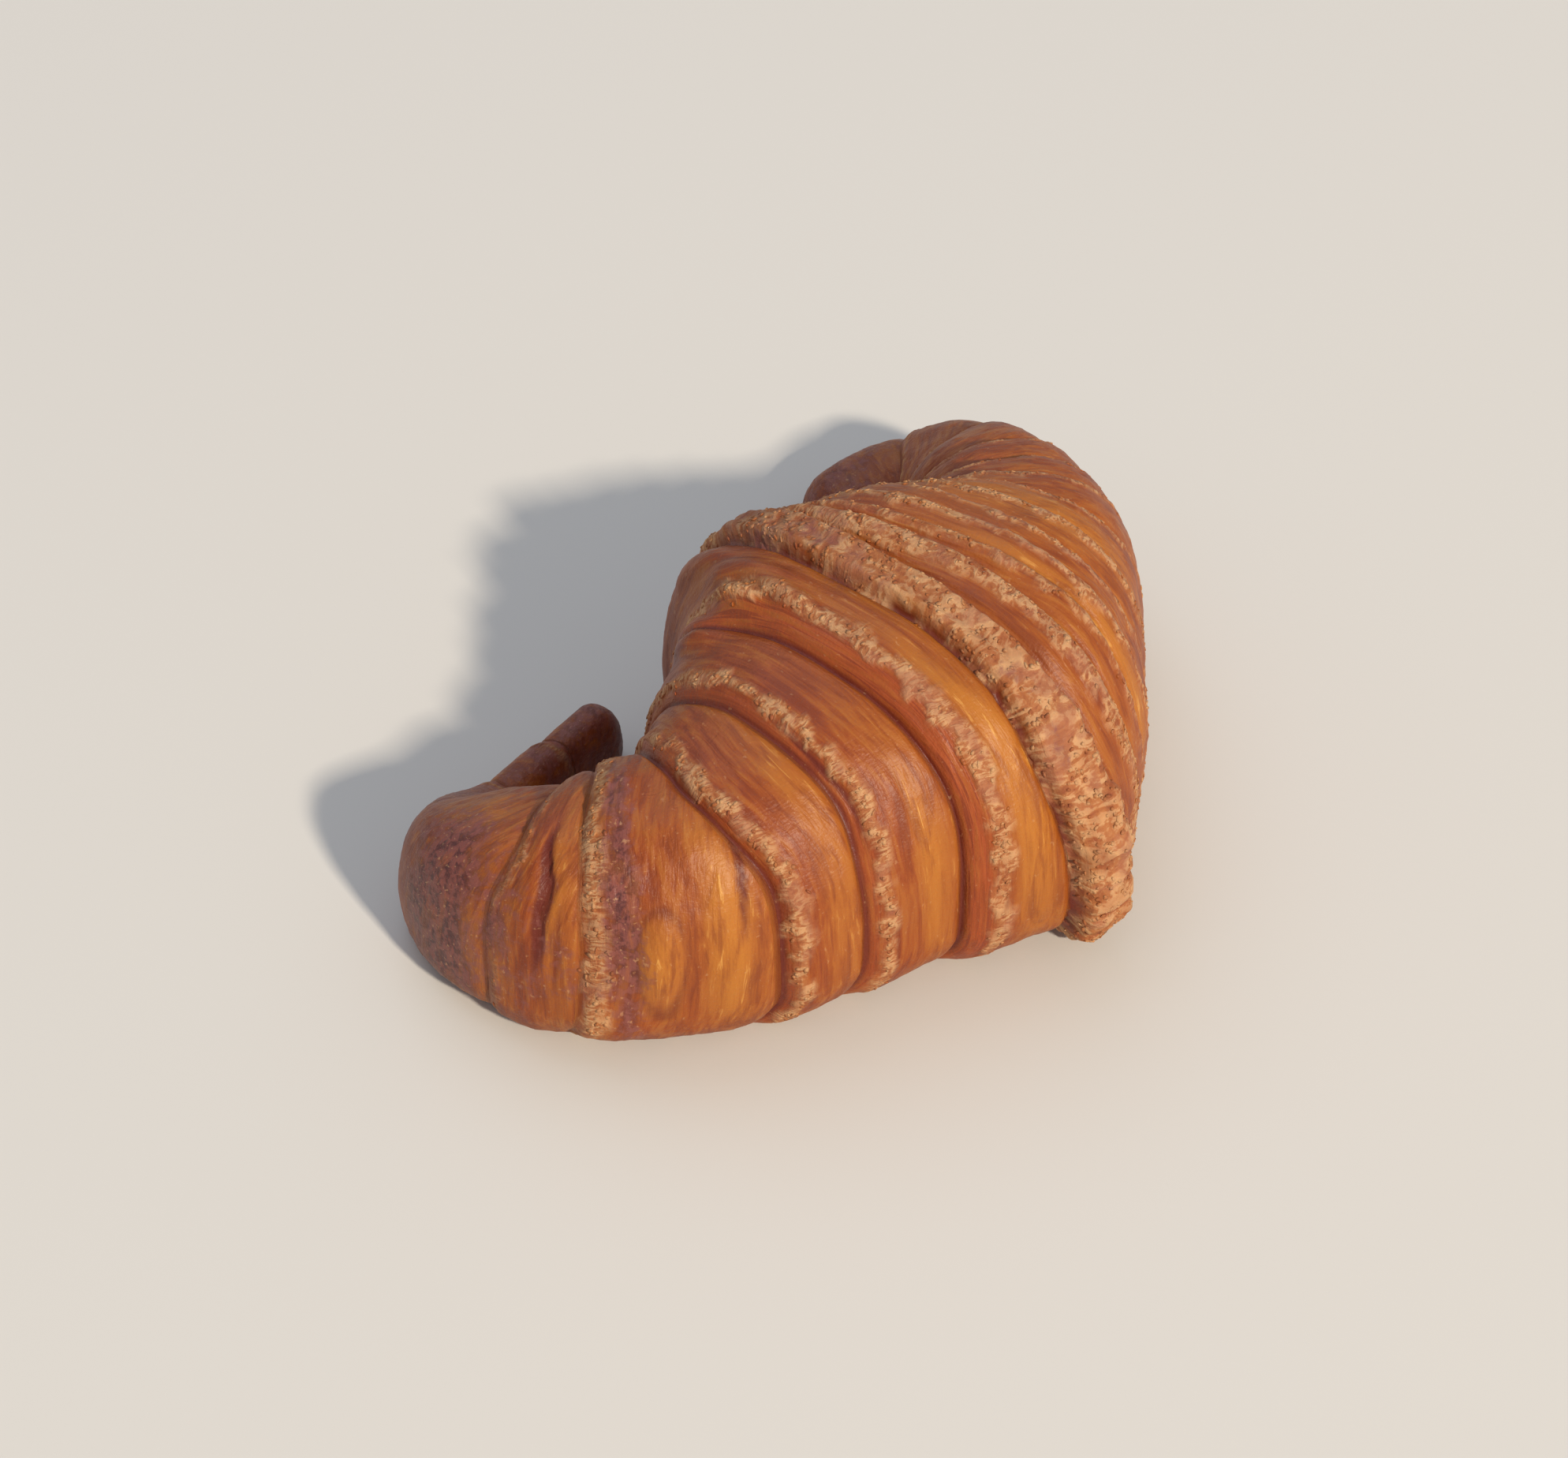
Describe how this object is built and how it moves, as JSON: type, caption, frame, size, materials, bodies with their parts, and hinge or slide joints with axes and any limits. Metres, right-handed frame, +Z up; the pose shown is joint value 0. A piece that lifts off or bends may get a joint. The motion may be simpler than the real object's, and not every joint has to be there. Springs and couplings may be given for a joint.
{
  "type": "croissant",
  "caption": "Baked butter croissant with puffed rolled layers, a fat belly and two curled horns, lying on its flat base.",
  "frame": {"origin": "on the surface it lies on, under the middle of the bounding box", "axes": "+X from horn to horn, +Y the way the horn tips curl, -Y the way the belly bulges, +Z up"},
  "size_m": [0.156, 0.1078, 0.0569],
  "materials": {
    "baked_crust": "egg-washed, oven-browned laminated crust: golden orange, dark red-brown in the grooves, pale and flaky on the layer edges, satin"
  },
  "bodies": {
    "root": {"croissant": "baked_crust"}
  },
  "joints": []
}
